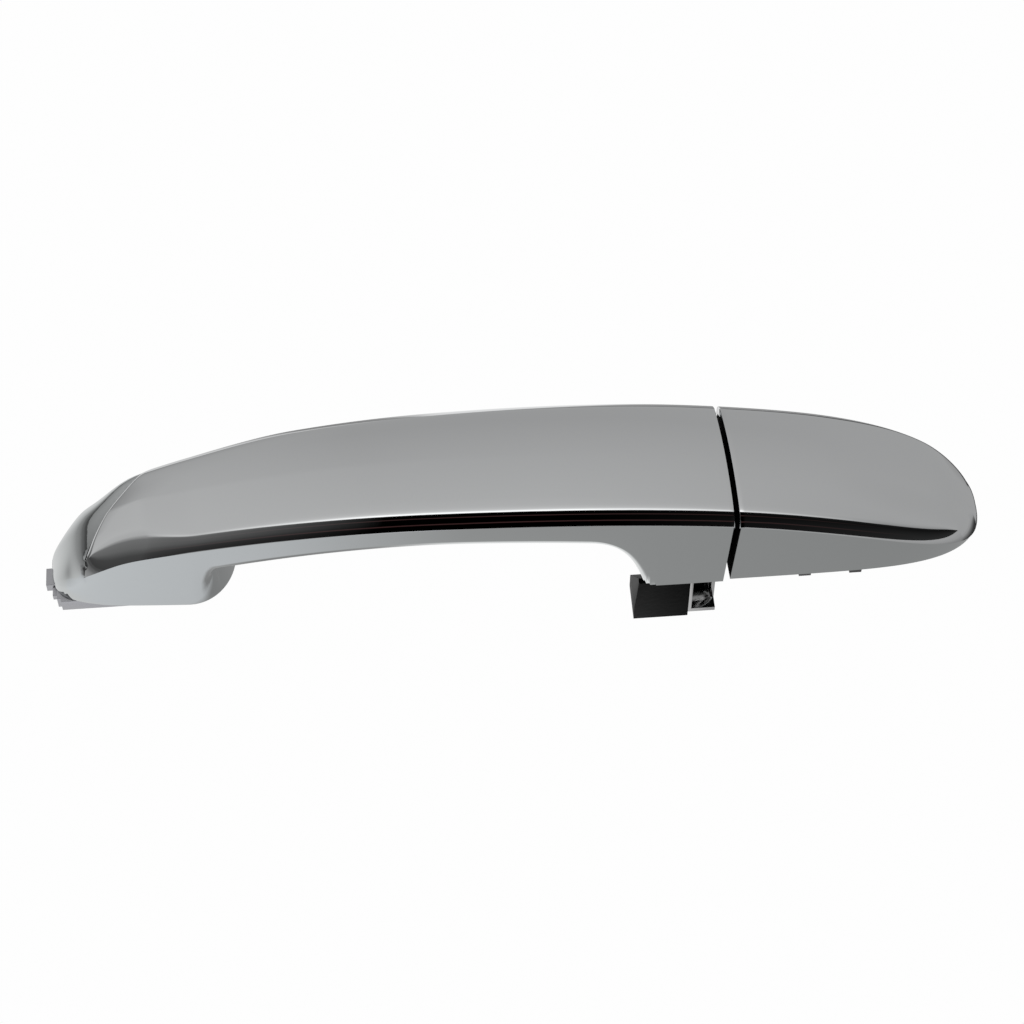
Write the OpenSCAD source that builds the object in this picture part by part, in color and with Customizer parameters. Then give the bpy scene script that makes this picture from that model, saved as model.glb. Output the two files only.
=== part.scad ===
// Car door handle: pull grip, end cap and the carrier that sits behind the door skin.
// +X runs to the rear end cap, +Y up the door, +Z outwards. z = 0 is the inner face of the skin.

/* [Grip] */
// Front tip of the grip
grip_x0 = -113.8; // [-118:0.2:-110]
// Rear end of the grip, at the gap
grip_x1 = 51; // [48:0.5:52]
// Greatest height of the cover's lower crease above the feet
crease_h = 29.3; // [26:0.1:31]
// Where along the grip the crease is highest
crease_x = -20; // [-30:1:-10]
// Widest half width
half_w = 17.6; // [16:0.1:19]
// Rise of the crowned face above the crease
crown = 5.2; // [4:0.1:6]
// Wall of the chromed shells
shell = 2; // [1.6:0.1:2.2]
// Depth of the grip's side wall below the crease
side_h = 8.2; // [7.5:0.1:9]
// Near front corner of the face
corner_x = -104.6; // [-106:0.1:-103]
// Drop of the crease at that corner
corner_drop = 5.2; // [4:0.1:6]
// Rake of the face's front edge, in degrees
rake = 33; // [28:1:38]
// Height of the feet, which is the skin and its gap
foot_z = 1; // [0.8:0.1:1.2]
// Heel of the front foot
heel_x = -68.5; // [-70:0.5:-62]
// Inner face of the rear leg
leg_x = 31; // [30:0.5:34]

/* [End cap] */
// Gap between the grip and the cap
gap = 1.8; // [1.4:0.1:2.2]
// Rear tip of the cap
cap_x1 = 115.8; // [112:0.2:118]

/* [Carrier] */
// Distance between the two fixing bolts
bolt_pitch = 156; // [154:1:158]
// Radius of the bolt sleeves' bores
bolt_r = 2.6; // [2:0.1:3]
// Depth of the carrier behind the skin
carrier_d = 12; // [11:0.5:13]
// Near and far sides of the rail behind the finger opening
rail_y = [9, 22];

/* [Hinge] */
// Hinge pin, along Y
hinge_x = -104; // [-106:0.5:-102]
// Height of the hinge pin
hinge_z = -9; // [-10:0.5:-8]
// Radius of the hinge pin
pin_r = 2; // [1.8:0.1:2.2]

/* [Lever] */
// Pivot of the bellcrank, along X
lever_y = 14; // [13:0.5:15]
// Height of the pivot
lever_z = -4.6; // [-5:0.1:-4.2]
// Length of the arm that the hook lifts
arm_l = 21; // [20:0.5:22]
// Slope of the arm at rest
arm_tilt = 30; // [28:1:32]
// Radius of the lever pin
lever_pin_r = 2; // [1.8:0.1:2.2]
// Running clearance of the two pivots
run = 0.05; // [0.02:0.01:0.08]

/* [Hidden] */
$fn = 48;
eps = 0.01;
cap_x0 = grip_x1 + gap;
hook_x0 = 43.2;
hook_x1 = 50;
hook_y0 = -13;
block_x = 29.5;          // front of the black block beside the hook
block_screw_x = 40;
hook_z = -19.3;          // underside of the hook's lip
lever_x = (hook_x0 + hook_x1) / 2;
lug_x = [38, 54.5];      // outer faces of the two lever lugs
lug_t = 3;
sleeve_l = 6.5;           // length of the bolt sleeves
heel_r = 12;              // round heel of the front foot
corner_l = 14;            // length of the soft corner into the rear leg

// --- the outline of the handle -------------------------------------------------------------

// Height of the crease: a parabola to the front, slightly steeper than one to the rear.
function crease(x) = foot_z + crease_h
    - (x < crease_x ? 0.0019 * pow(x - crease_x, 2)
                    : 0.00091 * pow(x - crease_x, 2) + 3.7e-8 * pow(x - crease_x, 4));

// Half width: full at x = 45, easing to the front, and closed by a rounded end each way.
function end_round(u, n, m) = pow(max(0, 1 - pow(max(0, u), n)), 1 / m);
function width(x) = x > 45
    ? half_w * end_round((x - 45) / (cap_x1 - 45), 4, 3)
    : (half_w - 0.00022 * pow(x - 45, 2)) * end_round((-80 - x) / (-80 - grip_x0), 4, 3);

// Fall of the face at the two tips
function tip(x) = x > 80 ? end_round((x - 80) / (cap_x1 - 80), 3, 2)
                         : end_round((-92 - x) / (-92 - grip_x0), 2, 2);
function rise(x) = crown * (0.25 + 0.75 * tip(x));

// Height of the lid's lower edge, which drops to the near corner and meets the foot at the tip
function seam(x) = max(foot_z + 1.2, crease(x)
    - (x < corner_x ? corner_drop + 10 * (1 - end_round((corner_x - x) / (corner_x - grip_x0), 2, 2))
       : x < -88 ? corner_drop * pow((-88 - x) / (-88 - corner_x), 2) : 0));

// Everything ahead of the face's raked front edge
module nose_zone(back = 0) {
    translate([corner_x + back, -10.6, -5]) rotate(-rake) translate([-60, -40, 0]) cube([60, 100, 70]);
}

// Underside of the grip: the arch, deeper towards its ends, a soft corner and the two legs
function arch(x) = crease(x) - side_h - 0.0055 * pow(abs(x - crease_x), 1.5);
function belly(x) = x < heel_x || x > leg_x ? foot_z
    : arch(x) - (arch(x) - foot_z) * pow(max(0, x - leg_x + corner_l) / corner_l, 3.2);

// Stations along X, closer together where the ends round off
function steps(a, b, n) = [for (i = [0:n]) a + (b - a) * i / n];
function ease(a, b, n) = [for (i = [0:n]) a + (b - a) * (1 - cos(90 * i / n))];

// A cross-section, standing at x
module slice(x, pts) {
    multmatrix([[0, 0, 1, x], [1, 0, 0, 0], [0, 1, 0, 0], [0, 0, 0, 1]])
        linear_extrude(height = eps) polygon(pts);
}

// The crowned lid above the crease, inset by t
module lid_slice(x, t) {
    w = max(0.3, width(x) - t);
    z = seam(x) - (t > 0 ? 1 : 0);
    r = max(0.3, rise(x) + seam(x) - z - t);
    slice(x, concat([[-w, z]], [for (i = [0:14]) let (a = 180 - 180 * i / 14)
        [w * sign(cos(a)) * pow(abs(cos(a)), 0.72), z + r * pow(sin(a), 0.72)]], [[w, z]]));
}

// The side walls below the crease, inset by t, open above when it is a cavity
module wall_slice(x, t, low, high) {
    w = max(0.4, width(x) - t);
    b = max(0.3, width(x) - t - 1.2);
    slice(x, [[-b, low], [b, low], [w, low + 2], [w, max(high, low + 2.1)],
              [-w, max(high, low + 2.1)], [-w, low + 2]]);
}

module lid(xs, t) {
    for (i = [0:len(xs) - 2]) hull() { lid_slice(xs[i], t); lid_slice(xs[i + 1], t); }
}

module walls(xs, t, lift, cut) {
    for (i = [0:len(xs) - 2]) hull() {
        for (x = [xs[i], xs[i + 1]]) wall_slice(x, t, belly(x) + lift, seam(x) - 0.12 + cut);
    }
}

grip_xs = concat([for (x = ease(grip_x0, -80, 12)) x], steps(-76, leg_x - 9, 14));
arch_xs = steps(heel_x - 2, leg_x - corner_l, 12);
leg_xs = steps(leg_x - corner_l, leg_x - 0.1, 8);
rear_xs = steps(leg_x - 9, grip_x1 - eps, 4);
cap_xs = concat(steps(cap_x0, 84, 4), [for (i = [1:10]) 84 + (cap_x1 - 84) * sin(9 * i)]);

// --- small shapes that repeat --------------------------------------------------------------

module rod_x(r, x0, x1) { translate([x0, 0, 0]) rotate([0, 90, 0]) cylinder(r = r, h = x1 - x0); }
module rod_y(r, y0, y1) { translate([0, y1, 0]) rotate([90, 0, 0]) cylinder(r = r, h = y1 - y0); }
module box(a, b) { translate(a) cube(b - a); }

// Countersunk screw standing on its tip, with a cross slot in its head
module screw(r, len, head = 2) {
    difference() {
        union() {
            cylinder(r = r, h = len);
            translate([0, 0, len - 1.4]) cylinder(r = r * head, h = 1.4);
        }
        for (a = [0, 90]) rotate(a) translate([-r * 0.9, -0.3, len - 0.8]) cube([r * 1.8, 0.6, 2]);
    }
}

// --- the grip ------------------------------------------------------------------------------

module grip_cover() {
    color("silver") difference() {
        lid(concat(grip_xs, rear_xs), 0);
        lid(concat(grip_xs, rear_xs), shell);
        nose_zone();
        translate([-200, -50, -60 + foot_z + 1]) cube([400, 100, 60]);
    }
}

module grip_body() {
    color("gainsboro") difference() {
        union() {
            walls(concat(ease(grip_x0, -80, 12), [heel_x - 11]), 0, 0, 0);
            for (i = [0:len(arch_xs) - 2]) hull() for (x = [arch_xs[i], arch_xs[i + 1]])
                wall_slice(x, 0, arch(x), seam(x) - 0.12);
            hull() for (x = [heel_x - heel_r, heel_x - 2]) wall_slice(x, 0, arch(x), seam(x) - 0.12);
            translate([heel_x - heel_r, 0, foot_z])
                cylinder(r = heel_r, h = arch(heel_x) + 2 - foot_z);
            for (i = [0:len(leg_xs) - 2]) hull() for (x = [leg_xs[i], leg_xs[i + 1]])
                wall_slice(x, 0, belly(x), seam(x) - 0.12);
            walls([leg_x + 0.01, grip_x1 - eps], 0, 0, 0);
            intersection() {
                lid([for (x = grip_xs) if (x < -78) x], 0);
                nose_zone(-0.05);
            }
        }
        // the trough that the core fills
        for (i = [0:len(core_xs) - 2]) hull() for (x = [core_xs[i], core_xs[i + 1]])
            wall_slice(x, shell, arch(x) + shell, seam(x) + 3);
        // hollow front foot and rear leg
        box([-100, -9.5, foot_z - 1], [-74, 9.5, foot_z + 10]);
        box([leg_x + 2, -14, foot_z - 1], [grip_x1 - 2, 14, foot_z + 12]);
        screw_holes();
    }
}
core_xs = steps(-84, grip_x1 - 3, 16);
screw_x = [-33.6, 5.8];  // cover screws, between the core's pockets

// Stepped hole for the cover screws, through the floor of the trough and into the core
module screw_holes() {
    for (x = screw_x) translate([x, 0, arch(x)]) {
        translate([0, 0, -1]) cylinder(r = 2.7, h = 2.5);
        cylinder(r = 1.35, h = 9);
    }
}

module grip_core() {
    color("dimgray") difference() {
        for (i = [0:len(core_xs) - 2]) hull() for (x = [core_xs[i], core_xs[i + 1]])
            wall_slice(x + (i == 0 ? 0.2 : i == len(core_xs) - 2 ? -0.2 : 0), shell + 0.15,
                       arch(x) + shell + 0.1, seam(x) - 0.1);
        // pockets between the ribs
        for (x = [-62 : 14 : 36]) for (s = [-1, 1])
            translate([x, s * 7.4 - 4.4, arch(x) + 4.6]) cube([11, 8.8, 20]);
        screw_holes();
    }
}

module cover_screws() {
    color("silver") for (x = screw_x)
        translate([x, 0, arch(x) + 8]) mirror([0, 0, 1]) screw(1.3, 7.9);
}

module hinge_fork() {
    color("lightgray") difference() {
        union() {
            box([-112.6, -9.8, foot_z - 4], [-110, 2, foot_z - 0.2]);
            box([-111.6, -10.8, foot_z - 4], [-89, 2, foot_z - 0.2]);
            box([-108, -8, foot_z - 4], [-89, 8.8, foot_z - 0.2]);
            box([-115.4, -5.2, foot_z - 3.6], [-112.6, -0.3, foot_z - 1]);
            box([-113.9, -7.6, foot_z - 4], [-112.6, -5.2, foot_z - 2.2]);
            box([-99.5, -9.2, foot_z - 0.2], [-90, 9.2, foot_z + 6]);
            for (y = [-1, 9.2]) hull() {
                box([hinge_x - 5, y, foot_z - 4], [hinge_x + 5, y + 3, foot_z - 3.5]);
                translate([hinge_x, 0, hinge_z]) rod_y(4.4, y, y + 3);
            }
        }
        translate([hinge_x, 0, hinge_z]) rod_y(pin_r, -5, 15);
        for (y = [-6, 6]) translate([-94.5, y, -5]) cylinder(r = 1.6, h = 20);
    }
}

module fork_screws() {
    color("silver") for (y = [-6, 6])
        translate([-94.5, y, foot_z + 6.5]) mirror([0, 0, 1]) screw(1.5, 11.9, 1.9);
}

module hinge_pin() {
    color("silver") translate([hinge_x, 0, hinge_z]) {
        rod_y(pin_r, -2, 13.2);
        rod_y(pin_r + 1, -2.8, -1);
    }
}

module pull_hook() {
    color("silver") difference() {
        box([hook_x0, hook_y0, hook_z], [hook_x1, 1, foot_z - 0.1]);
        box([hook_x0 + 0.9, hook_y0 - 1, hook_z + 1.4], [hook_x1 - 0.9, 5, -3]);
        box([hook_x0 - 1, -5, hook_z - 1], [hook_x1 + 1, 5, hook_z + 5]);
        // the far wall and the top plate stand back from the lip
        box([hook_x0 + 0.8, hook_y0 - 1, hook_z + 1.4], [hook_x1 + 1, hook_y0 + 3, foot_z]);
    }
    color("silver") box([hook_x0 - 1.7, hook_y0 + 0.6, -3.2], [hook_x0, hook_y0 + 3, -1.6]);
    color("silver") box([hook_x0 + 0.6, -11, foot_z - 0.1], [hook_x1 - 1, 0, foot_z + 5]);
}

module hook_block() {
    color("black") difference() {
        union() {
            hull() {
                box([block_x, hook_y0, -21], [leg_x + 3.5, -3, -16]);
                box([block_x + 0.8, hook_y0, -8], [leg_x + 3.5, hook_y0 + 1.5, -4.6]);
            }
            box([leg_x + 3.4, hook_y0, -21], [hook_x0, -3, foot_z - 0.1]);
            box([block_screw_x - 3.3, -11, foot_z - 0.1], [hook_x0 + 0.4, 9, foot_z + 8]);
        }
        box([hook_x0 - 1.9, hook_y0 - 1, -3.4], [hook_x0 + 1, hook_y0 + 3.2, -1.4]);
        translate([block_screw_x, -7.5, -30]) cylinder(r = 1.5, h = 50);
    }
}

module hook_screws() {
    color("silver") {
        translate([block_screw_x, -7.5, foot_z + 7]) mirror([0, 0, 1]) screw(1.5, 28.5, 1.0);
    }
}

// --- the carrier behind the skin -------------------------------------------------------------

module carrier() {
    color("dimgray") difference() {
        union() {
            box([-88, rail_y[0], -carrier_d], [lug_x[0] + lug_t, rail_y[1], 0]);
            box([-83.2, -4.8, -sleeve_l], [-72.8, rail_y[0] + 1, 0]);
            // hinge boss
            box([-98, 2.3, -carrier_d - 1.5], [-86, 8.9, -5.4]);
            hull() {
                translate([hinge_x, 0, hinge_z]) rod_y(5, 2.3, 8.9);
                box([-99, 2.3, hinge_z - 4.5], [-98, 8.9, -5.4]);
            }
            // lugs for the lever pin
            for (x = [lug_x[0], lug_x[1]])
                box([x, 6, -carrier_d], [x + lug_t, rail_y[1], -0.5]);
            box([lug_x[1], -5.4, -sleeve_l], [104, rail_y[0] + 1, 0]);
            box([lug_x[1], rail_y[0], -carrier_d], [104, rail_y[1] - 4, 0]);
            box([lug_x[0], 30, -carrier_d], [lug_x[1] + lug_t, 33, 0]);
            for (x = [lug_x[0], lug_x[1]]) box([x, 20, -carrier_d], [x + lug_t, 33, -0.5]);
            box([50, 23, -0.6], [lug_x[1] + 1, 31, 0]);
        }
        for (s = [-1, 1]) translate([s * bolt_pitch / 2, 0, -40]) cylinder(r = 4, h = 60);
        translate([hinge_x, 0, hinge_z]) rod_y(pin_r + run + 1, 0, 10);
        translate([0, lever_y, lever_z]) rod_x(lever_pin_r, 30, 70);
        // weight pockets in the rail, open to the inside of the door
        for (x = [-66 : 17 : 20]) box([x, rail_y[0] + 2.5, -carrier_d - 1], [x + 13, rail_y[1] - 2.5, -3]);
        // channel of the clamp screw, its nut and the cap's leg
        box([84, 3, -9.8], [101, 13, 1]);
        translate([0, 8, -5]) rod_x(2.2, 60, 120);
        box([65, 4.5, -8.5], [68, 11.5, 1]);
        // pockets for the ends of the lever pin
        box([33, 10.2, -carrier_d - 1], [lug_x[0], 17.8, -0.8]);
        box([lug_x[1] + lug_t, 10.6, -carrier_d - 1], [63, 17.4, -0.8]);
    }
}

module hinge_bush() {
    color("goldenrod") translate([hinge_x, 0, hinge_z]) difference() {
        rod_y(pin_r + run + 1, 2.3, 8.9);
        rod_y(pin_r + run, 0, 12);
    }
}

module bolt_sleeves() {
    color("goldenrod") for (s = [-1, 1]) translate([s * bolt_pitch / 2, 0, -sleeve_l])
        difference() {
            cylinder(r = 4, h = sleeve_l);
            translate([0, 0, -1]) cylinder(r = bolt_r, h = sleeve_l + 2);
        }
}

// --- the end cap -----------------------------------------------------------------------------

module cap_solid(t) {
    difference() {
        union() {
            lid(cap_xs, t);
            for (i = [0:len(cap_xs) - 2]) hull() for (x = [cap_xs[i], cap_xs[i + 1]])
                wall_slice(x, t, foot_z - (t > 0 ? 3 : 0), seam(x) + 0.3);
        }
    }
}

module cap_cover() {
    color("silver") {
        difference() {
            cap_solid(0);
            difference() {
                intersection() {
                    cap_solid(shell);
                    box([cap_x0 + shell, -30, -5], [cap_x1 - 3, 30, 50]);
                }
                for (x = cap_screw_x) translate([x, 5.4, foot_z + 5]) cylinder(r = 2.7, h = 30);
            }
            box([cap_x0 - 1, -11, foot_z + 3], [cap_x0 + 3, 11, foot_z + 17]);
            for (x = cap_screw_x) translate([x, 5.4, foot_z - 1]) cylinder(r = 1.3, h = 11.2);
        }
    }
}
cap_screw_x = [64, 80];

module cap_insert() {
    color("dimgray") difference() {
        union() {
            box([cap_x0 + 2.2, -12, foot_z - 0.2], [94, 12, foot_z + 5]);
            for (y = [-12, -1.2, 9.6]) box([cap_x0 + 2.2, y, foot_z], [86, y + 2.4, foot_z + 10.5]);
            box([86, 4, -7.6], [92, 12, foot_z]);
        }
        translate([0, 8, -5]) rod_x(2, 80, 120);
        for (x = cap_screw_x) translate([x, 5.4, -3]) {
            cylinder(r = 1.3, h = 20);
            cylinder(r = 2.6, h = foot_z + 4.2);
        }
    }
}

module cap_bumper() {
    color("black") difference() {
        box([grip_x1 + 0.5, -10.8, foot_z + 3.2], [cap_x0 + 3.4, 10.8, foot_z + 16.8]);
        box([cap_x0 + 2, -30, foot_z], [cap_x0 + 4, 30, foot_z + 10.6]);
    }
}

module cap_clips() {
    color("gray") for (x = [71.3, 83.9])
        box([x - 1.5, -14.6, -3.4], [x + 1.5, -12, foot_z + 4]);
}

module cap_screws() {
    color("silver") for (x = cap_screw_x)
        translate([x, 5.4, foot_z + 10]) mirror([0, 0, 1]) screw(1.3, 10.2, 1.9);
}

module clamp_screw() {
    color("silver") translate([105, 8, -5]) rotate([0, -90, 0]) {
        cylinder(r = 2, h = 42);
        translate([0, 0, -3]) difference() {
            cylinder(r = 3.8, h = 3.9);
            translate([0, 0, -1]) cylinder(r = 1.8, h = 3, $fn = 6);
        }
    }
}

module clamp_nut() {
    color("silver") difference() {
        box([65.1, 4.6, -8.4], [67.9, 11.4, -1.6]);
        translate([0, 8, -5]) rod_x(2, 60, 70);
    }
}

// --- the lever ---------------------------------------------------------------------------------

module at_lever(a = 0) { translate([0, lever_y, lever_z]) rotate([a, 0, 0]) children(); }

module lever_pin() {
    color("silver") at_lever() {
        rod_x(lever_pin_r, lug_x[0] - 1.2, lug_x[1] + lug_t + 2);
        rod_x(3.4, lug_x[0] - 2.4, lug_x[0]);
    }
}

module pin_clip() {
    color("silver") at_lever() difference() {
        rod_x(3.2, lug_x[1] + lug_t + 0.1, lug_x[1] + lug_t + 0.9);
        rod_x(lever_pin_r, 50, 70);
        translate([50, -1.6, -6]) cube([20, 3.2, 6]);
    }
}

module lever_bumper() {
    color("black") box([50.8, 24, -2.3], [53, 28, -0.6]);
}

module bellcrank() {
    color("dimgray") difference() {
        union() {
            at_lever() rod_x(4.2, lug_x[0] + lug_t + 0.4, lug_x[1] - 0.4);
            at_lever(arm_tilt) hull() {
                rod_x(2.4, hook_x0 + 1.8, hook_x1 - 2.2);
                translate([0, -arm_l, 0]) rod_x(2, hook_x0 + 1.8, hook_x1 - 2.2);
            }
            at_lever() {
                hull() { rod_x(2.8, side_arm_x, 53); translate([0, 12, -1]) rod_x(3, side_arm_x, 53); }
                hull() { rod_x(3, side_arm_x, 53); translate([0, 0.5, -9.5]) rod_x(3, side_arm_x, 53); }
            }
        }
        at_lever() rod_x(lever_pin_r + run + 0.9, 30, 60);
        at_lever() translate([0, 12, -1]) rod_x(1.2, 48, 56);
        at_lever() translate([0, 0.5, -9.5]) rod_x(1.8, 40, 56);
    }
}
side_arm_x = 50.6;

module lever_bushes() {
    color("goldenrod") at_lever() difference() {
        rod_x(lever_pin_r + run + 0.9, lug_x[0] + lug_t + 0.4, lug_x[1] - 0.4);
        rod_x(lever_pin_r + run, 30, 60);
    }
}

module counterweight() {
    color("gray") at_lever() translate([0, 12, -1]) difference() {
        rod_x(3.4, 46.4, side_arm_x);
        rod_x(1.2, 44, 51);
    }
}

module weight_rivet() {
    color("silver") at_lever() translate([0, 12, -1]) {
        rod_x(1.2, 46, 53.2);
        rod_x(2, 45.8, 46.4);
        rod_x(2, 53, 53.6);
    }
}

module rod_clip() {
    color("white") at_lever() translate([0, 0.5, -9.5]) difference() {
        union() {
            rod_x(1.8, side_arm_x, 53.2);
            rod_x(2.8, side_arm_x - 1.6, side_arm_x);
        }
        rod_x(1.1, 40, 60);
    }
}

// Torsion spring beside the hub: close coils swept along a helix
coil_r = 5.2;
wire_r = 0.4;
turns = 3;
pitch = 0.86;
coil_n = 72;
sides = 8;
function on_wire(i, k) = let (a = 360 * turns * i / coil_n, b = 360 * k / sides,
                              r = coil_r + wire_r * cos(b))
    [lug_x[0] + lug_t + 0.6 + wire_r + pitch * turns * i / coil_n + wire_r * sin(b),
     r * cos(a), r * sin(a)];
module lever_spring() {
    color("silver") at_lever() polyhedron(
        points = [for (i = [0:coil_n]) for (k = [0:sides - 1]) on_wire(i, k)],
        faces = concat(
            [for (i = [0:coil_n - 1]) for (k = [0:sides - 1]) let (m = (k + 1) % sides)
                each [[i * sides + k, i * sides + m, (i + 1) * sides + m],
                      [i * sides + k, (i + 1) * sides + m, (i + 1) * sides + k]]],
            [[for (k = [sides - 1:-1:0]) k], [for (k = [0:sides - 1]) coil_n * sides + k]]));
}

grip_cover();
grip_body();
grip_core();
cover_screws();
hinge_fork();
fork_screws();
hinge_pin();
pull_hook();
hook_block();
hook_screws();
carrier();
hinge_bush();
bolt_sleeves();
cap_cover();
cap_insert();
cap_bumper();
cap_clips();
cap_screws();
clamp_screw();
clamp_nut();
lever_pin();
pin_clip();
lever_bumper();
bellcrank();
lever_bushes();
counterweight();
weight_rivet();
rod_clip();
lever_spring();
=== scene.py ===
# Looks for the car door handle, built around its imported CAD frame. Lengths are in millimetres, and
# MM turns them into metres when a mesh or the camera is made.
import math

import bmesh
import bpy
import numpy as np
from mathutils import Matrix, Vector

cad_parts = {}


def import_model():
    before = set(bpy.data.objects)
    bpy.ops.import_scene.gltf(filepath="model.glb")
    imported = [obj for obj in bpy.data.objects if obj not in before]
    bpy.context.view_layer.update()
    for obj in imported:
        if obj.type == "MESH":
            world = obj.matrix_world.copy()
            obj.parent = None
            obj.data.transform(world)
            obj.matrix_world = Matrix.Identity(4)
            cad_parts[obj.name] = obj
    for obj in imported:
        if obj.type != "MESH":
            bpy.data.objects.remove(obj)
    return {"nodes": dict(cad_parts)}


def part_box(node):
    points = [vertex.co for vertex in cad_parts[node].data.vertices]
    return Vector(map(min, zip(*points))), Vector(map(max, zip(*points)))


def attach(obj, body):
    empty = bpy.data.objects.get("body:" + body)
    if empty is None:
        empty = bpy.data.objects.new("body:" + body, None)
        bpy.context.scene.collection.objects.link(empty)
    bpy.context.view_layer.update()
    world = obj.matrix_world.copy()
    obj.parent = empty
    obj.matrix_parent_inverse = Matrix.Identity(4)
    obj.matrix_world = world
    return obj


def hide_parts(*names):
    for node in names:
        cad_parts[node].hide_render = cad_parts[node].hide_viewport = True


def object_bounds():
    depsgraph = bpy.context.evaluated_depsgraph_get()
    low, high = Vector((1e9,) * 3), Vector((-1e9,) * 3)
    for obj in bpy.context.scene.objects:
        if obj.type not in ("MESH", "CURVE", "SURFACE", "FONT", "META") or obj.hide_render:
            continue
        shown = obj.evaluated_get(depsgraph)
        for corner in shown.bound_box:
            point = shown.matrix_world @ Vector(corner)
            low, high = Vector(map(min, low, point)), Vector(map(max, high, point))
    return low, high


MM = 0.001
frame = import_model()
nodes = frame["nodes"]
cad_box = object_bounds()


def mm_box(node):
    """A CAD node's box in millimetres."""
    low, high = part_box(node)
    return [v / MM for v in low], [v / MM for v in high]


# --- the handle's outline, from the frame --------------------------------------------------------

grip_low, grip_high = mm_box("grip_body")
cap_low, cap_high = mm_box("cap_cover")
FOOT = grip_low[2]            # underside of the feet
NOSE_X = grip_low[0]          # front tip
GRIP_END = grip_high[0]       # the grip's end at the gap
CAP_X = cap_low[0]            # the cap's edge at the gap
TAIL_X = cap_high[0]          # rear tip of the cap
HALF_W = cap_high[1]          # widest half width
WIDEST_X = 45.0               # where the handle is widest
TAIL_ROUND = (6, 2.6)         # how the plan closes at the tail and at the nose, as two exponents
NOSE_ROUND = (5.5, 3.4)
SHOULDER_X = -80.0            # where the nose starts to close
TAPER = 0.00022               # narrowing towards the nose, per millimetre squared
HEEL_X = -68.5                # back of the front foot
HEEL_R = 12.0                 # length over which the heel rounds off
LEG_X = 30.8                  # inner face of the rear leg
CREST_X = -20.0               # where the crease is highest
CREST = 29.3                  # height of the crease there, above the feet
FALL_FRONT = 0.0019           # how fast the crease falls ahead of there and behind it
FALL_REAR = 0.00091
FALL_TAIL = 3.7e-8            # its extra fall near the tail
ARCH_DEPTH = 0.0055           # how fast the arch deepens towards its ends
NOSE_HEIGHT = 23.2            # height of the nose's dome where it meets the side wall
SIDE = 8.2                    # height of the grip's side wall
CORNER_X = -104.6             # near front corner of the face
NOSE_END = -88.0              # where the domed nose meets the upright side wall
CORNER_DROP = 5.2             # how far the crease drops at the near corner
FRONT_ROLL = 1.5              # the face's tight roll along its front edge
FAR_BEHIND = 99.0             # a distance behind that edge where its roll plays no part
GAP_LEAN = 0.045              # how far the gap's line runs forward for each millimetre down
GAP_BOW = 1.4                 # and across the face
ROLL = 4.5                    # radius of the face's rolled edge
ROLL_START = 31               # slope at which the roll leaves the crease, in degrees from upright
TILT = 1.1                    # how much higher the far crease runs than the near one
CROWN = 2.6                   # rise of the face between its edges
SOFT_CORNER = 14.0            # length of the soft corner into the rear leg
LIP = 0.35                    # rounding of the foot's lower edge
EDGE_WIDTH = 2.6              # the belly's rounded edge: its width, then points in from the wall and up
EDGE_INSETS = (1.7, 0.95, 0.45, 0.15)
EDGE_RISES = (0.2, 0.75, 1.7, 3.2)
SHARP_TURN = math.radians(40)  # an edge that turns more than this is drawn sharp
BEVEL_TURN = math.radians(30)  # an edge of a CAD piece that turns more than this is bevelled
FLAT_TURN = math.radians(2)    # faces of a CAD piece that turn less than this are joined
WELD = 1e-6                    # points closer than this are one, in metres


def clamp(v, low=0.0, high=1.0):
    return max(low, min(high, v))


def smooth(v):
    v = clamp(v)
    return v * v * (3 - 2 * v)


def mix(a, b, t):
    return a + (b - a) * t


def rounding(u, n, m):
    """Falls from 1 to 0 along a superellipse as u goes from 0 to 1."""
    return max(0.0, 1 - clamp(u) ** n) ** (1 / m)


def half_width(x):
    """Half width of the handle in plan."""
    if x > WIDEST_X:
        return HALF_W * rounding((x - WIDEST_X) / (TAIL_X - WIDEST_X), *TAIL_ROUND)
    taper = HALF_W - TAPER * (x - WIDEST_X) ** 2
    return taper * rounding((SHOULDER_X - x) / (SHOULDER_X - NOSE_X), *NOSE_ROUND)


def crease(x):
    """Height of the sharp line under the rolled edge."""
    d = x - CREST_X
    z = FOOT + CREST - (FALL_FRONT * d * d if d < 0 else FALL_REAR * d * d + FALL_TAIL * d ** 4)
    if x < NOSE_END:
        z -= CORNER_DROP * ((NOSE_END - x) / (NOSE_END - CORNER_X)) ** 2
    return max(FOOT + 0.6, z)


def nose_top(x):
    """Height of the nose's dome along its middle."""
    u = clamp((NOSE_END - x) / (NOSE_END - NOSE_X))
    return FOOT + NOSE_HEIGHT * (1 - u ** 1.45) ** 0.72


def squareness(x, side):
    """Exponent of a section through the nose: round at the tip, upright where the side wall starts."""
    upright = smooth((x - CORNER_X + 4) / (NOSE_END - CORNER_X + 4))
    return 3.7 + (56 * upright if side < 0 else 18 * upright ** 3)


def wall_y(x, z, side=-1):
    """Half width of the side wall at a height."""
    if x > NOSE_END:
        return half_width(x)
    u = clamp((z - FOOT) / max(0.01, nose_top(x) - FOOT))
    domed = (1 - u ** 3) ** (1 / squareness(x, side))
    return half_width(x) * mix(domed, 1, smooth((x - NOSE_END + 8) / 8))


def nose_z(x, y):
    """Height of the nose's dome."""
    u = clamp(abs(y) / max(0.01, half_width(x)))
    return FOOT + (nose_top(x) - FOOT) * (1 - u ** squareness(x, y)) ** (1 / 3)


def tilt(x, y):
    """How much higher the face runs here than at its near edge."""
    share = clamp(0.5 + y / (2 * max(0.01, half_width(x))))
    return TILT * share * smooth((TAIL_X - x) / 12) * smooth((x + 100) / 20)


def edge_y(x):
    """Half width of the face at its crease."""
    return wall_y(x, crease(x))


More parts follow.
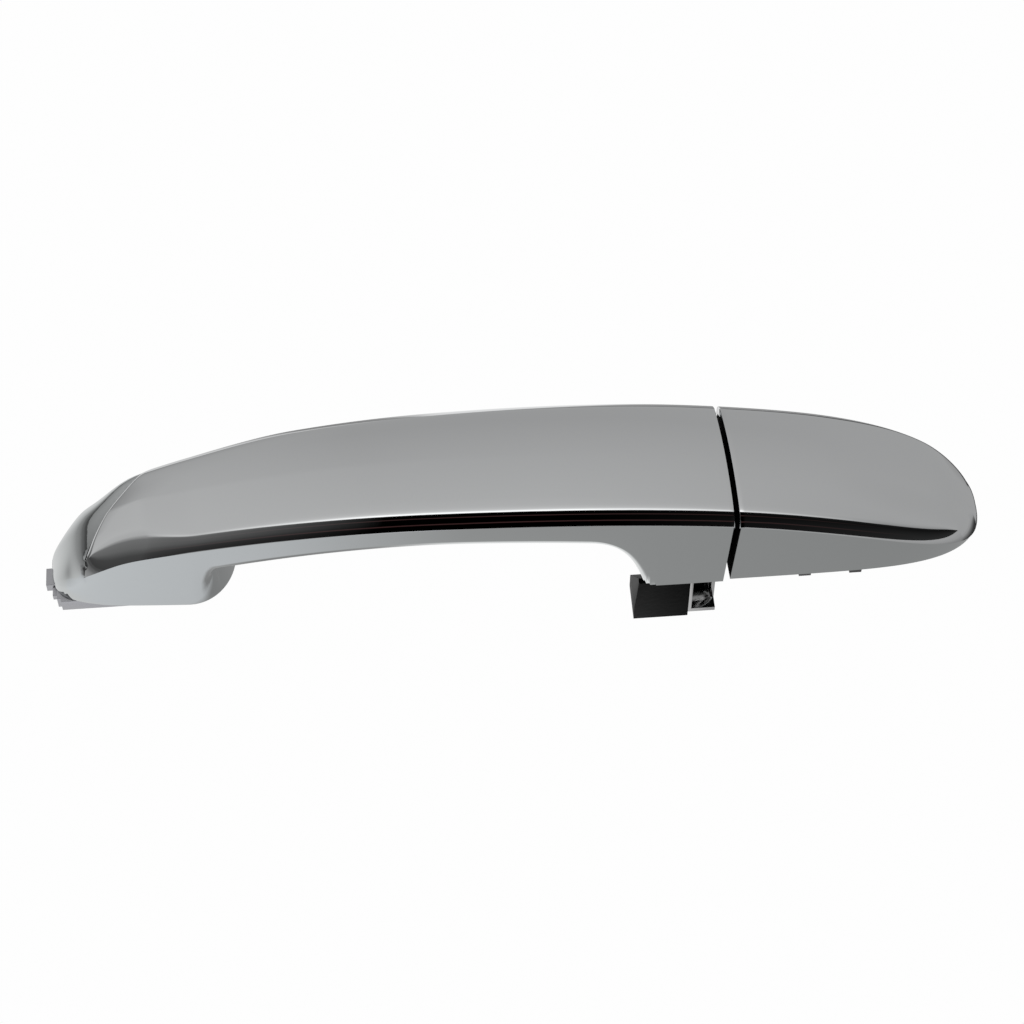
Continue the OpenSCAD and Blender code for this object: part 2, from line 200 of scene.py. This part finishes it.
def rake(y):
    """How far the face's front edge falls back, across the handle."""
    d = (0.86 * y if y > 0 else y) + edge_y(CORNER_X)
    return 0.3 * d + 0.02 * d * d if d > 0 else 0.0


def outline(n=900):
    """The crease in plan, as points that crowd together where it closes at the tail."""
    xs = [mix(CORNER_X - 6, TAIL_X, math.sin(math.pi * i / n / 2)) for i in range(n)]
    return np.array([[x, edge_y(x)] for x in xs] + [[TAIL_X, 0.0]])


EDGE = outline()
EDGE_STEPS = np.diff(EDGE, axis=0)


def edge_gap(x, y):
    """Distance in plan to the crease."""
    away = np.array((x, abs(y))) - EDGE[:-1]
    along = (away * EDGE_STEPS).sum(axis=1) / (EDGE_STEPS ** 2).sum(axis=1)
    return math.sqrt(((away - EDGE_STEPS * along.clip(0, 1)[:, None]) ** 2).sum(axis=1).min())


def face_z(x, y, behind=FAR_BEHIND):
    """Height of the face: the roll from the crease, then its crown, and a tight roll in front."""
    gap = edge_gap(x, y)
    corner = smooth((-76 - x) / 26) * smooth(0.5 - y / 16)
    start = math.radians(ROLL_START + 14 * corner)
    roll = ROLL * (1 + 1.5 * corner - 0.75 * smooth((y + 12) / 10) * smooth((x - 76) / 26))
    turned = math.acos(clamp(math.cos(start) - gap / roll))
    z = crease(x) + tilt(x, y) + roll * (math.sin(turned) - math.sin(start))
    z += CROWN * (1 - (1 - clamp(gap / HALF_W)) ** 2)
    if behind < FRONT_ROLL:
        seat = min(z, nose_z(x, y) + 0.12)
        z = seat + (z - seat) * math.sqrt(1 - (1 - clamp(behind / FRONT_ROLL)) ** 2)
    return z


def bow(y, z):
    """How far the gap's line lies ahead of its rearmost point, which is at the near crease."""
    top = crease(GRIP_END)
    bowed = GAP_BOW * clamp((y + HALF_W) / (2 * HALF_W)) ** 1.5
    return bowed + GAP_LEAN * max(0.0, top - z) - 0.4


def slimmer(x):
    """The far side is a little slimmer than the near one towards the nose."""
    return 1 - 0.16 * smooth((-52 - x) / 38) - 0.4 * smooth((-104 - x) / 10)


def shaped(verts):
    """Slims the far side of the nose, and bends the ends at the gap to its line."""
    out = []
    for x, y, z in verts:
        near = smooth(1 - (GRIP_END - x) / 25) if x <= GRIP_END + 0.1 else smooth(1 - (x - CAP_X) / 25)
        out.append([x - bow(y, z) * near, y * slimmer(x) if y > 0 else y, z])
    return out


# --- meshes --------------------------------------------------------------------------------------

def new_object(name, verts, faces, body, replaced, material, painted):
    """A mesh that rides on a body and stands for CAD nodes.

    painted holds a list of faces and the material that they have in place of the main one.
    """
    mesh = bpy.data.meshes.new(name)
    mesh.from_pydata([[c * MM for c in v] for v in verts], [], faces)
    mesh.materials.append(material)
    if painted[0]:
        mesh.materials.append(painted[1])
        for i in painted[0]:
            mesh.polygons[i].material_index = 1
    bm = bmesh.new()
    bm.from_mesh(mesh)
    bmesh.ops.remove_doubles(bm, verts=bm.verts, dist=WELD)
    bmesh.ops.recalc_face_normals(bm, faces=bm.faces)
    bm.to_mesh(mesh)
    bm.free()
    for p in mesh.polygons:
        p.use_smooth = True
    obj = bpy.data.objects.new(name, mesh)
    bpy.context.collection.objects.link(obj)
    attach(obj, body)
    if replaced:
        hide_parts(*replaced)
    return obj


def grid_faces(rows, cols, closed=False):
    """Quads between rows of points, with each row joined into a ring if closed."""
    faces = []
    for i in range(rows - 1):
        for k in range(cols if closed else cols - 1):
            m = (k + 1) % cols
            faces.append([i * cols + k, i * cols + m, (i + 1) * cols + m, (i + 1) * cols + k])
    return faces


def sharpen(obj):
    """Marks the edges that turn sharply as sharp."""
    bm = bmesh.new()
    bm.from_mesh(obj.data)
    for e in bm.edges:
        if len(e.link_faces) == 2 and e.calc_face_angle(0) > SHARP_TURN:
            e.smooth = False
    bm.to_mesh(obj.data)
    bm.free()


def bevelled_copy(node, body, width, segments, material):
    """A copy of a CAD node's mesh with its edges rounded, which stands for the node."""
    src = nodes[node]
    obj = bpy.data.objects.new(node + "_look", src.data.copy())
    bpy.context.collection.objects.link(obj)
    bm = bmesh.new()
    bm.from_mesh(obj.data)
    bmesh.ops.remove_doubles(bm, verts=bm.verts, dist=WELD)
    bmesh.ops.dissolve_limit(bm, angle_limit=FLAT_TURN, verts=bm.verts, edges=bm.edges)
    bm.to_mesh(obj.data)
    bm.free()
    obj.data.materials.clear()
    obj.data.materials.append(material)
    bevel = obj.modifiers.new("edge", "BEVEL")
    bevel.width = width * MM
    bevel.segments = segments
    bevel.limit_method = "ANGLE"
    bevel.angle_limit = BEVEL_TURN
    bevel.harden_normals = True
    for p in obj.data.polygons:
        p.use_smooth = True
    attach(obj, body)
    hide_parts(node)


# --- materials -----------------------------------------------------------------------------------

def material(name, colour, metallic=0.0, roughness=0.4):
    m = bpy.data.materials.new(name)
    m.use_nodes = True
    shader = m.node_tree.nodes["Principled BSDF"]
    shader.inputs["Base Color"].default_value = (*colour, 1)
    shader.inputs["Metallic"].default_value = metallic
    shader.inputs["Roughness"].default_value = roughness
    return m, m.node_tree, shader


def chrome(name, tint, depth=0.02, rough=(0.02, 0.07)):
    """Bright plating: faint orange peel from the plastic below, and wipe marks in the gloss."""
    m, tree, shader = material(name, tint, 1.0, rough[0])
    coord = tree.nodes.new("ShaderNodeTexCoord")
    peel = tree.nodes.new("ShaderNodeTexNoise")
    peel.inputs["Scale"].default_value = 260
    peel.inputs["Detail"].default_value = 2
    tree.links.new(coord.outputs["Object"], peel.inputs["Vector"])
    bump = tree.nodes.new("ShaderNodeBump")
    bump.inputs["Strength"].default_value = depth
    bump.inputs["Distance"].default_value = 0.0004
    tree.links.new(peel.outputs["Fac"], bump.inputs["Height"])
    tree.links.new(bump.outputs["Normal"], shader.inputs["Normal"])
    wipe = tree.nodes.new("ShaderNodeTexNoise")
    wipe.inputs["Scale"].default_value = 40
    wipe.inputs["Detail"].default_value = 6
    wipe.inputs["Roughness"].default_value = 0.65
    tree.links.new(coord.outputs["Object"], wipe.inputs["Vector"])
    span = tree.nodes.new("ShaderNodeMapRange")
    span.inputs["From Min"].default_value = 0.35
    span.inputs["From Max"].default_value = 0.75
    span.inputs["To Min"].default_value = rough[0]
    span.inputs["To Max"].default_value = rough[1]
    tree.links.new(wipe.outputs["Fac"], span.inputs["Value"])
    tree.links.new(span.outputs["Result"], shader.inputs["Roughness"])
    return m


def plastic(name, colour, roughness, grain_scale, grain_depth, metallic=0.0):
    """Moulded plastic, rubber or cast metal: a fine grain in the surface and slight mottling."""
    m, tree, shader = material(name, colour, metallic, roughness)
    coord = tree.nodes.new("ShaderNodeTexCoord")
    grain = tree.nodes.new("ShaderNodeTexNoise")
    grain.inputs["Scale"].default_value = grain_scale
    grain.inputs["Detail"].default_value = 3
    tree.links.new(coord.outputs["Object"], grain.inputs["Vector"])
    bump = tree.nodes.new("ShaderNodeBump")
    bump.inputs["Strength"].default_value = grain_depth
    bump.inputs["Distance"].default_value = 0.0003
    tree.links.new(grain.outputs["Fac"], bump.inputs["Height"])
    tree.links.new(bump.outputs["Normal"], shader.inputs["Normal"])
    mottle = tree.nodes.new("ShaderNodeTexNoise")
    mottle.inputs["Scale"].default_value = 90
    tree.links.new(coord.outputs["Object"], mottle.inputs["Vector"])
    ramp = tree.nodes.new("ShaderNodeMix")
    ramp.data_type = "RGBA"
    ramp.inputs["A"].default_value = (*[c * 0.8 for c in colour], 1)
    ramp.inputs["B"].default_value = (*[min(1, c * 1.25) for c in colour], 1)
    tree.links.new(mottle.outputs["Fac"], ramp.inputs["Factor"])
    tree.links.new(ramp.outputs["Result"], shader.inputs["Base Color"])
    return m


def drawn_metal(name, colour, roughness, along=(1, 30, 30)):
    """Plated or drawn metal: fine lines along X in its gloss and height."""
    m, tree, shader = material(name, colour, 1.0, roughness)
    coord = tree.nodes.new("ShaderNodeTexCoord")
    stretch = tree.nodes.new("ShaderNodeMapping")
    stretch.inputs["Scale"].default_value = along
    tree.links.new(coord.outputs["Object"], stretch.inputs["Vector"])
    lines = tree.nodes.new("ShaderNodeTexNoise")
    lines.inputs["Scale"].default_value = 60
    lines.inputs["Detail"].default_value = 4
    tree.links.new(stretch.outputs["Vector"], lines.inputs["Vector"])
    span = tree.nodes.new("ShaderNodeMapRange")
    span.inputs["To Min"].default_value = roughness * 0.7
    span.inputs["To Max"].default_value = roughness * 1.4
    tree.links.new(lines.outputs["Fac"], span.inputs["Value"])
    tree.links.new(span.outputs["Result"], shader.inputs["Roughness"])
    bump = tree.nodes.new("ShaderNodeBump")
    bump.inputs["Strength"].default_value = 0.08
    bump.inputs["Distance"].default_value = 0.0002
    tree.links.new(lines.outputs["Fac"], bump.inputs["Height"])
    tree.links.new(bump.outputs["Normal"], shader.inputs["Normal"])
    return m


FACE = chrome("chrome_face", (0.636, 0.645, 0.65))
BODY = chrome("chrome_body", (0.593, 0.612, 0.612))
# the body's plating again, for the grip's shell, with painted shade near the face's seam
BODY_SEAM_SHADE = chrome("chrome_body_seam_shade", (0.593, 0.612, 0.612))


def paint_seam_shade(m):
    """Paints shade into the plating's colour close to the face's seam."""
    tree = m.node_tree
    shader = tree.nodes["Principled BSDF"]
    painted_shade = tree.nodes.new("ShaderNodeAttribute")
    painted_shade.attribute_name = "seam_painted_shade"
    blend = tree.nodes.new("ShaderNodeMix")
    blend.data_type = "RGBA"
    blend.inputs["A"].default_value = shader.inputs["Base Color"].default_value
    # painted shade: the grey that the plating's colour darkens to next to the seam
    blend.inputs["B"].default_value = (0.42, 0.43, 0.435, 1)
    tree.links.new(painted_shade.outputs["Fac"], blend.inputs["Factor"])
    tree.links.new(blend.outputs["Result"], shader.inputs["Base Color"])


paint_seam_shade(BODY_SEAM_SHADE)
HOOK = chrome("chrome_hook", (0.66, 0.66, 0.66), rough=(0.08, 0.16))
BLACK = plastic("black_nylon", (0.0025, 0.003, 0.003), 0.5, 900, 0.25)
# painted shadow: near black for the face's front groove and the end faces in the gap, where there is
# only shade
SEAM_SHADOW = plastic("seam_shadow", (0.01, 0.01, 0.01), 0.8, 900, 0.1)
RUBBER = plastic("rubber", (0.006, 0.006, 0.006), 0.7, 1500, 0.3)
for black in (BLACK, SEAM_SHADOW, RUBBER):
    black.node_tree.nodes["Principled BSDF"].inputs["Specular IOR Level"].default_value = 0.06
GREY = plastic("grey_plastic", (0.22, 0.22, 0.23), 0.45, 900, 0.2)
WHITE = plastic("white_plastic", (0.7, 0.7, 0.66), 0.4, 900, 0.2)
ZINC = plastic("zinc", (0.35, 0.35, 0.36), 0.5, 500, 0.5, metallic=1.0)
PLATED = drawn_metal("plated_steel", (0.45, 0.45, 0.47), 0.3)
STEEL = drawn_metal("steel", (0.5, 0.5, 0.51), 0.22)
SPRING = drawn_metal("spring_steel", (0.3, 0.3, 0.32), 0.25)
BRASS = drawn_metal("brass", (0.6, 0.42, 0.16), 0.25)

CARRIED = {
    "grip_core": BLACK, "cap_insert": BLACK, "cap_bumper": RUBBER, "lever_bumper": RUBBER,
    "bolt_sleeves": BRASS, "hinge_bush": BRASS, "lever_bushes": BRASS, "cap_clips": GREY,
    "counterweight": ZINC, "rod_clip": WHITE, "lever_spring": SPRING, "lever_pin": STEEL,
    "pin_clip": STEEL, "weight_rivet": STEEL, "hinge_pin": STEEL, "cap_screws": PLATED,
    "cover_screws": PLATED, "fork_screws": PLATED, "hook_screws": PLATED, "clamp_screw": PLATED,
    "clamp_nut": PLATED,
}
for name, mat in CARRIED.items():
    obj = nodes[name]
    obj.data.materials.clear()
    obj.data.materials.append(mat)


# --- the face ------------------------------------------------------------------------------------

def across(n):
    """Fractions from one edge to the other, closer together over the rolled edges."""
    return [0.5 - 0.5 * math.cos(math.pi * i / n) for i in range(n + 1)]


# Steps out and down of the skirts at a lid's ends: a bevel at the gap, a tuck under elsewhere
SKIRTS = {
    "front": [(0.3, 0.0), (0.3, 2.2)],
    "gap": [(0.18, 0.06), (0.3, 0.3), (0.3, 3.0)],
    "tail": [(-0.3, 2.2)],
}


def lid_mesh(name, stations, raked, body, node):
    """A lid that follows face_z, with a short skirt down into its seam."""
    cols = across(72)
    verts = []
    for s, x0 in enumerate(stations):
        fade = 1 - smooth((x0 - CORNER_X) / 75) if raked else 0.0
        row = []
        for t in cols:
            w = edge_y(x0)
            for _ in range(3):
                x = min(x0 + rake(mix(-w, w, t)) * fade, stations[-1])
                w = edge_y(x)
            y = mix(-w, w, t)
            row.append([x, y, face_z(x, y, x0 - CORNER_X if raked else FAR_BEHIND)])
        tuck = min(0.5, w / 2)
        verts.append([row[0][0], row[0][1] + tuck, row[0][2] - 1.2])
        verts += row
        verts.append([row[-1][0], row[-1][1] - tuck, row[-1][2] - 1.2])
    width = len(cols) + 2
    faces = grid_faces(len(stations), width)
    rows = len(stations)
    ends = (("front" if raked else "gap", 0, 1), ("gap" if raked else "tail", (rows - 1) * width, -1))
    shadowed_groove = []
    for kind, first, inward in ends:
        above = first
        for out, down in SKIRTS[kind]:
            row = len(verts)
            for k in range(width):
                x, y, z = verts[first + k]
                if kind == "front":
                    y *= 0.98
                    z = max(z - 0.5, min(z, nose_z(x - out, y) + 0.1))
                verts.append([x - inward * out, y, z - down])
            # the front skirt's faces get painted shadow, a near-black line in the groove at the face's
            # front edge
            if kind == "front":
                shadowed_groove += range(len(faces), len(faces) + width - 1)
            faces += [[above + k, above + k + 1, row + k + 1, row + k] for k in range(width - 1)]
            above = row
    verts = shaped(verts)
    obj = new_object(name, verts, faces, body, (node,), FACE, painted=(shadowed_groove, SEAM_SHADOW))
    sharpen(obj)
    return obj


def stations(a, b, n, ease_a=False, ease_b=False):
    """Places from a to b, which crowd together at an end that is eased."""
    out = []
    for i in range(n + 1):
        t = i / n
        if ease_a:
            t = 1 - math.cos(math.pi * t / 2)
        elif ease_b:
            t = math.sin(math.pi * t / 2)
        out.append(mix(a, b, t))
    return out


face_stations = stations(CORNER_X, CORNER_X + 3, 12) + stations(CORNER_X + 3.4, GRIP_END, 170)
lid_mesh("grip_face", face_stations, True, "grip", "grip_cover")


# --- the grip's inner shell ----------------------------------------------------------------------

def arch(x):
    """Underside of the arch, which is deeper towards its ends."""
    return crease(x) - SIDE - ARCH_DEPTH * abs(x - CREST_X) ** 1.5


def belly(x):
    """The arch with its wide soft corner into the rear leg."""
    if x > LEG_X:
        return FOOT
    return mix(arch(x), FOOT, clamp((x - LEG_X + SOFT_CORNER) / SOFT_CORNER) ** 3.2)


def rolled(x, rise):
    """The belly's edge once it has been rounded by this much, square to the arch and to the leg."""
    turn = smooth((x - LEG_X + SOFT_CORNER) / SOFT_CORNER)
    return belly(x - rise * turn) + rise * (1 - turn)


def foot_half(x):
    """Half width of the front foot: full, then closed by its round heel."""
    centre = HEEL_X - HEEL_R
    if x >= HEEL_X:
        return 0.0
    proud = 0.2 * smooth((x + 106) / 8)
    return (half_width(x) + proud) * math.sqrt(1 - max(0.0, (x - centre) / HEEL_R) ** 2)


def body_ring(x, side=-1):
    """Half a section: from the middle of the underside, out, up the wall and over the top."""
    w, top = half_width(x), crease(x) + tilt(x, side * half_width(x))
    on_foot = x < HEEL_X
    foot = foot_half(x)
    low = FOOT if on_foot else belly(x)
    soft = min(LIP, foot * 0.4)
    pts = [[0, low], [foot * 0.5, low], [foot - soft, low]]
    if on_foot:
        pts += [[foot - soft + soft * math.sin(a), low + soft - soft * math.cos(a)]
                for a in [math.pi / 8 * i for i in range(1, 5)]]
    else:
        pts += [[0, low]] * 4
    under = min(arch(x) if on_foot else low, top - 1)
    ledge = [[mix(foot, w - EDGE_WIDTH, 0.5), under], [w - EDGE_WIDTH, under]]
    ledge += [[w - inset, under + rise] for inset, rise in zip(EDGE_INSETS, EDGE_RISES)]
    if on_foot:
        if x < CORNER_X or side > 0:
            lidded = smooth((x - CORNER_X) / (NOSE_END - CORNER_X))
            top = mix(mix(low + soft, nose_top(x), 0.76), top, lidded)
        heights = [mix(low + soft, top, 0.08 + 0.14 * i) for i in range(6)]
        flush = [[wall_y(x, z, side), z] for z in heights]
        if foot < w:
            flush = [[mix(foot, w, smooth(0.1 + 0.18 * i)), z] for i, (_, z) in enumerate(flush)]
        depth = smooth((w - foot) / 4)
        ledge = [[mix(f[0], g[0], depth), mix(f[1], g[1], depth)] for f, g in zip(flush, ledge)]
    else:
        ledge = [[y, rolled(x, z - under)] for y, z in ledge]
    pts += ledge
    edge = wall_y(x, top, side)
    pts.append([edge, top])
    for k in range(1, 13):
        y = edge * math.cos(math.pi * k / 24)
        z = nose_z(x, side * y) if x < NOSE_END + 6 else top - 0.6
        behind = x - CORNER_X - rake(side * y)
        if x > CORNER_X and behind > 0.4:
            z = min(z, face_z(x, side * y, behind) - min(1.0, behind))
        if x > NOSE_END:
            z = min(z, mix(nose_z(NOSE_END, side * y), top - 0.6, smooth((x - NOSE_END) / 3)))
        pts.append([y, z])
    return pts


def body_mesh():
    xs = stations(NOSE_X, SHOULDER_X, 48, ease_a=True)
    xs += stations(SHOULDER_X + 0.5, HEEL_X, 28, ease_b=True)[1:]
    xs += stations(HEEL_X + 0.02, LEG_X - SOFT_CORNER, 50)
    xs += stations(LEG_X - SOFT_CORNER, LEG_X - 0.01, 40, ease_b=True)[1:]
    # the wall's rounded rows each end just past the leg, one rise after another
    before = (-0.16, -0.08, -0.04, -0.015, -0.004, 0.004)
    xs += sorted(LEG_X + rise + step for rise in EDGE_RISES for step in before)
    xs += stations(LEG_X + 4, GRIP_END, 10)
    verts = []
    for x in xs:
        near, away = body_ring(x, -1), body_ring(x, 1)
        verts += [[x, y, z] for y, z in away] + [[x, -y, z] for y, z in reversed(near[1:-1])]
    verts = shaped(verts)
    n = len(verts) // len(xs)
    faces = grid_faces(len(xs), n, closed=True)
    faces.append([len(verts) - n + k for k in range(n)])
    # the shell's end face at the gap is painted near black: painted shadow in the gap
    obj = new_object("grip_shell", verts, faces, "grip", ("grip_body",), BODY_SEAM_SHADE,
                     painted=([len(faces) - 1], SEAM_SHADOW))
    sharpen(obj)
    # painted shade on the nose: darkest at the face's seam, fading over a few millimetres ahead of it
    # and at once behind it, only from about 8 mm above the feet up
    painted_shade = obj.data.attributes.new("seam_painted_shade", "FLOAT", "POINT")
    for i, v in enumerate(obj.data.vertices):
        x, y, z = [c / MM for c in v.co]
        ahead = CORNER_X + rake(y / slimmer(x) if y > 0 else y) - x
        low = smooth((z - FOOT - 8) / 5)
        painted_shade.data[i].value = low * math.exp(-ahead / 2.2 if ahead > 0 else ahead / 0.5)
    return obj


body_mesh()


# --- the cap -------------------------------------------------------------------------------------

def cap_mesh():
    xs = stations(CAP_X, TAIL_X, 90, ease_b=True)
    lid_mesh("cap_face", xs, False, "base", "cap_cover")
    verts = []
    for x in xs:
        w = half_width(x)
        top = max(FOOT + 0.4, crease(x))
        away = top + tilt(x, w)
        lean = min(0.7, w / 2)
        ring = [[x, -w, top]]
        ring += [[x, -(w - lean * k / 6), mix(top, FOOT, k / 6)] for k in range(1, 7)]
        ring += [[x, w - lean * k / 6, mix(away, FOOT, k / 6)] for k in range(6, 0, -1)]
        ring += [[x, w, away]]
        verts += ring
    verts = shaped(verts)
    n = 14
    faces = grid_faces(len(xs), n)
    # the end face at the gap is painted near black: painted shadow in the gap
    faces.append(list(range(n)))
    obj = new_object("cap_shell", verts, faces, "base", (), BODY,
                     painted=([len(faces) - 1], SEAM_SHADOW))
    sharpen(obj)


cap_mesh()

# --- edges of the carried pieces -----------------------------------------------------------------

bevelled_copy("hook_block", "grip", 0.5, 3, BLACK)
bevelled_copy("pull_hook", "grip", 0.25, 2, HOOK)
bevelled_copy("hinge_fork", "grip", 0.25, 2, PLATED)
bevelled_copy("carrier", "base", 0.3, 2, BLACK)
bevelled_copy("bellcrank", "lever", 0.25, 2, BLACK)


# --- light, floor and camera ---------------------------------------------------------------------

def ramp(tree, source, stops):
    """A colour ramp from (place, grey) or (place, colour) pairs. Its first and last stops are greys."""
    node = tree.nodes.new("ShaderNodeValToRGB")
    elements = node.color_ramp.elements
    elements[0].position, elements[1].position = stops[0][0], stops[-1][0]
    elements[0].color = (*[stops[0][1]] * 3, 1)
    elements[1].color = (*[stops[-1][1]] * 3, 1)
    for place, grey in stops[1:-1]:
        e = elements.new(place)
        e.color = (*grey, 1) if isinstance(grey, tuple) else (grey, grey, grey, 1)
    tree.links.new(source, node.inputs["Fac"])
    return node.outputs["Color"]


def math_node(tree, operation, a, b=None):
    node = tree.nodes.new("ShaderNodeMath")
    node.operation = operation
    for socket, value in zip(node.inputs, (a, b)):
        if value is None:
            continue
        if hasattr(value, "links"):
            tree.links.new(value, socket)
        else:
            socket.default_value = value
    return node.outputs[0]


def mix_node(tree, mode, share, a, b):
    """Blends two colours."""
    node = tree.nodes.new("ShaderNodeMix")
    node.data_type = "RGBA"
    node.blend_type = mode
    if hasattr(share, "links"):
        tree.links.new(share, node.inputs["Factor"])
    else:
        node.inputs["Factor"].default_value = share
    for value, socket in ((a, "A"), (b, "B")):
        tree.links.new(value, node.inputs[socket])
    return node.outputs["Result"]


def side_share(tree, split, gain, offset):
    """From 0 to 1 as a direction turns to one side."""
    out = math_node(tree, "MULTIPLY_ADD", split.outputs["X"], gain)
    out.node.inputs[2].default_value = offset
    out.node.use_clamp = True
    return out


def beside_camera(tree, mirrored, plain):
    """The plain shader where the camera sees it directly, and the other one in the plating's mirror."""
    path = tree.nodes.new("ShaderNodeLightPath")
    pick = tree.nodes.new("ShaderNodeMixShader")
    tree.links.new(path.outputs["Is Camera Ray"], pick.inputs[0])
    tree.links.new(mirrored.outputs[0], pick.inputs[1])
    tree.links.new(plain.outputs[0], pick.inputs[2])
    return pick.outputs[0]


def floor():
    """A pale table, clear from below, which the camera sees plain white. The plating mirrors it with
    painted light and shade: greys by the place along the handle, and painted bright and dark patches
    under and beyond the handle.
    """
    half, z = 3000 * MM, cad_box[0][2] - MM
    mesh = bpy.data.meshes.new("floor")
    corners = ((-half, -half), (half, -half), (half, half), (-half, half))
    mesh.from_pydata([[x, y, z] for x, y in corners], [], [[0, 1, 2, 3]])
    obj = bpy.data.objects.new("floor", mesh)
    bpy.context.collection.objects.link(obj)
    m = bpy.data.materials.new("floor")
    m.use_nodes = True
    tree = m.node_tree
    tree.nodes.clear()
    out = tree.nodes.new("ShaderNodeOutputMaterial")
    white, grey = tree.nodes.new("ShaderNodeEmission"), tree.nodes.new("ShaderNodeEmission")
    white.inputs["Strength"].default_value = 0.99
    coord = tree.nodes.new("ShaderNodeTexCoord")
    split = tree.nodes.new("ShaderNodeSeparateXYZ")
    tree.links.new(coord.outputs["Object"], split.inputs[0])
    place = math_node(tree, "MULTIPLY_ADD", split.outputs["X"], 0.7)
    place.node.inputs[2].default_value = 0.7
    # painted reflection: the greys that the plating mirrors, by the place along the handle
    along = ramp(tree, place, [
        (0.0, 0.1), (0.35, 0.2), (0.5, 0.4), (0.6, (0.845, 0.86, 0.885)), (0.655, (0.69, 0.70, 0.72)),
        (0.69, 0.43), (0.77, 0.36), (0.83, 0.33), (0.87, 0.45), (1.0, 0.495)])
    # painted light and shade under the arch: a bright patch for the lit table there, dark patches for
    # shade beside it
    below = ramp(tree, place, [
        (0.0, 0.1), (0.35, 0.2), (0.5, 0.4), (0.6, 0.86), (0.635, 0.75), (0.655, 0.3), (0.675, 0.36),
        (0.69, 1.0), (0.722, 1.0), (0.735, 0.4), (0.785, 0.36), (0.797, 0.05), (0.812, 0.05),
        (0.84, 0.42), (0.87, 0.495), (1.0, 0.495)])
    # across the handle: the plain greys in front of it, the painted patches from about 20 mm before its
    # middle line back
    across_it = math_node(tree, "MULTIPLY_ADD", split.outputs["Y"], 10.0)
    across_it.node.inputs[2].default_value = 0.5
    lit = ramp(tree, across_it, [(0.0, 0.0), (0.22, 0.0), (0.3, 1.0), (1.0, 1.0)])
    tree.links.new(mix_node(tree, "MIX", lit, along, below), grey.inputs["Color"])
    geometry = tree.nodes.new("ShaderNodeNewGeometry")
    clear = tree.nodes.new("ShaderNodeBsdfTransparent")
    one_sided = tree.nodes.new("ShaderNodeMixShader")
    tree.links.new(geometry.outputs["Backfacing"], one_sided.inputs[0])
    tree.links.new(beside_camera(tree, grey, white), one_sided.inputs[1])
    tree.links.new(clear.outputs[0], one_sided.inputs[2])
    tree.links.new(one_sided.outputs[0], out.inputs["Surface"])
    mesh.materials.append(m)


def world():
    """A studio that is dark along the handle's near side and grey overhead, with a bright strip between.

    Each ramp runs from the near horizon over the top to the far one, for the middle, nose and tail.
    """
    w = bpy.data.worlds.new("studio")
    bpy.context.scene.world = w
    w.use_nodes = True
    tree = w.node_tree
    shade = tree.nodes["Background"]
    coord = tree.nodes.new("ShaderNodeTexCoord")
    split = tree.nodes.new("ShaderNodeSeparateXYZ")
    tree.links.new(coord.outputs["Generated"], split.inputs[0])
    back = math_node(tree, "MULTIPLY", split.outputs["Y"], -1.0)
    height = math_node(tree, "ABSOLUTE", split.outputs["Z"])
    turn = math_node(tree, "ARCTAN2", height, back)
    place = math_node(tree, "DIVIDE", turn, math.pi)
    middle = ramp(tree, place, [
        (0.0, 0.0), (0.11, 0.0), (0.13, (0.045, 0.02, 0.02)), (0.145, 0.0),
        (0.26, 0.0), (0.275, (0.04, 0.02, 0.02)), (0.29, 0.0), (0.37, 0.0),
        (0.383, 1.05), (0.405, 0.95), (0.43, 0.58), (0.46, 0.47), (0.5, 0.42),
        (0.55, 0.37), (0.66, 0.34), (0.8, 0.29), (1.0, 0.3)])
    nose = ramp(tree, place, [
        (0.0, 0.04), (0.1, 0.05), (0.2, 0.11), (0.34, 0.14), (0.4, 0.3), (0.42, 0.36),
        (0.55, 0.4), (0.8, 0.38), (0.9, 0.3), (1.0, 0.22)])
    tail = ramp(tree, place, [
        (0.0, 0.02), (0.30, 0.005), (0.375, 0.01), (0.39, 0.22), (0.44, 0.27),
        (0.52, 0.31), (0.62, 0.32), (1.0, 0.3)])
    seen = mix_node(tree, "MIX", side_share(tree, split, -2.2, -0.25), middle, nose)
    seen = mix_node(tree, "MIX", side_share(tree, split, 1.6, -0.25), seen, tail)
    tree.links.new(seen, shade.inputs["Color"])
    shade.inputs["Strength"].default_value = 1.65
    plain = tree.nodes.new("ShaderNodeBackground")
    plain.inputs["Color"].default_value = (0.99, 0.99, 0.99, 1)
    tree.links.new(beside_camera(tree, shade, plain), tree.nodes["World Output"].inputs["Surface"])


def camera():
    """Above the handle's near side and almost square to it, aimed a little past the feet's middle."""
    elevation, azimuth, distance = math.radians(56.0), math.radians(-4.42), 690.0
    aim_right, aim_up = -0.25, 5.78
    data = bpy.data.cameras.new("camera")
    data.lens = 97.8
    data.sensor_width = 36
    data.clip_start, data.clip_end = 0.01, 50
    obj = bpy.data.objects.new("camera", data)
    flat = math.cos(elevation)
    back = Vector((math.sin(azimuth) * flat, -math.cos(azimuth) * flat, math.sin(elevation)))
    right = Vector((math.cos(azimuth), math.sin(azimuth), 0))
    target = Vector((0, 0, FOOT * MM)) + (back.cross(right) * aim_up + right * aim_right) * MM
    obj.location = target + back * distance * MM
    obj.rotation_euler = back.to_track_quat("Z", "Y").to_euler()
    bpy.context.collection.objects.link(obj)
    bpy.context.scene.camera = obj


world()
floor()
camera()
bpy.context.scene.view_settings.view_transform = "Standard"
